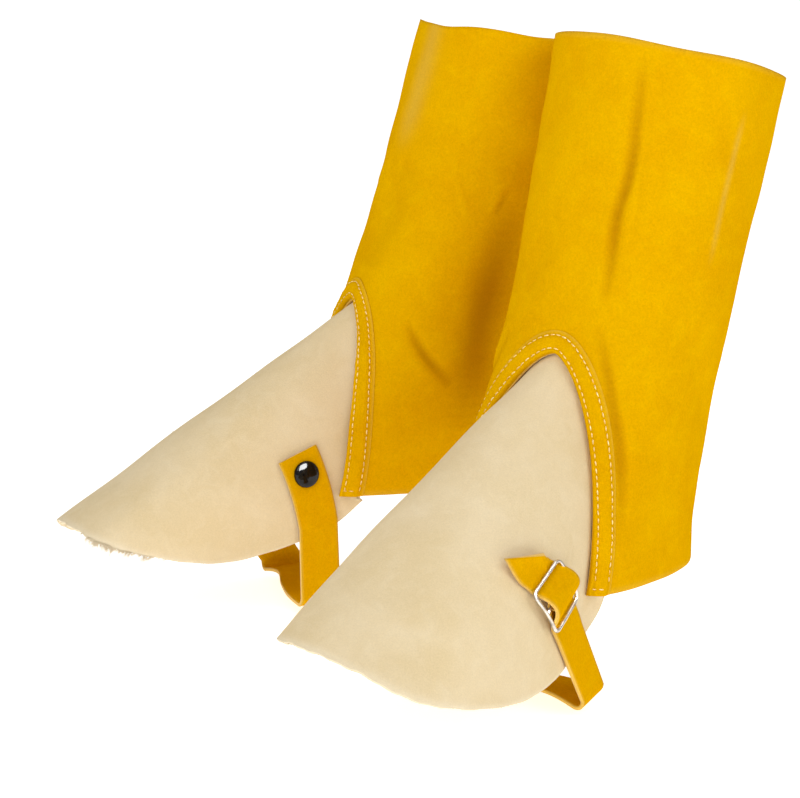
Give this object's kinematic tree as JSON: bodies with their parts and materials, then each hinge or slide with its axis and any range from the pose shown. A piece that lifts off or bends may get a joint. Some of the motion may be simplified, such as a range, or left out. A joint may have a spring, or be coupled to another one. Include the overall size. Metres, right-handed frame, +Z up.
{
  "type": "pair of leather spats",
  "caption": "Pair of welding spats: yellow suede leg tubes with cream split-leather vamps, sole straps, wire buckles and snaps.",
  "frame": {"origin": "midway between the two feet, at the height of the soles' underside, where the wearer's feet hold the pair", "axes": "+Z up along the standing wearer, toes towards -Y and turned out 15 degrees each, +X towards the wearer's left spat"},
  "size_m": [0.3524, 0.3267, 0.33],
  "materials": {
    "yellow_suede": "golden-yellow split suede, short matt nap",
    "cream_split": "undyed cream split leather, matt, fibrous cut edge",
    "yellow_band": "golden-yellow split suede, doubled and sewn in two rows",
    "yellow_strap": "golden-yellow split leather strap",
    "nickel_wire": "nickel-plated bent steel wire",
    "black_snap": "glossy black enamel"
  },
  "bodies": {
    "root": {"left_leg": "yellow_suede", "left_vamp": "cream_split", "left_vee_band": "yellow_band", "left_strap": "yellow_strap", "left_buckle_chape": "yellow_strap", "left_buckle": "nickel_wire", "left_snap_cap": "black_snap", "left_snap_back": "nickel_wire", "right_leg": "yellow_suede", "right_vamp": "cream_split", "right_vee_band": "yellow_band", "right_strap": "yellow_strap", "right_buckle_chape": "yellow_strap", "right_buckle": "nickel_wire", "right_snap_cap": "black_snap", "right_snap_back": "nickel_wire"}
  },
  "joints": []
}
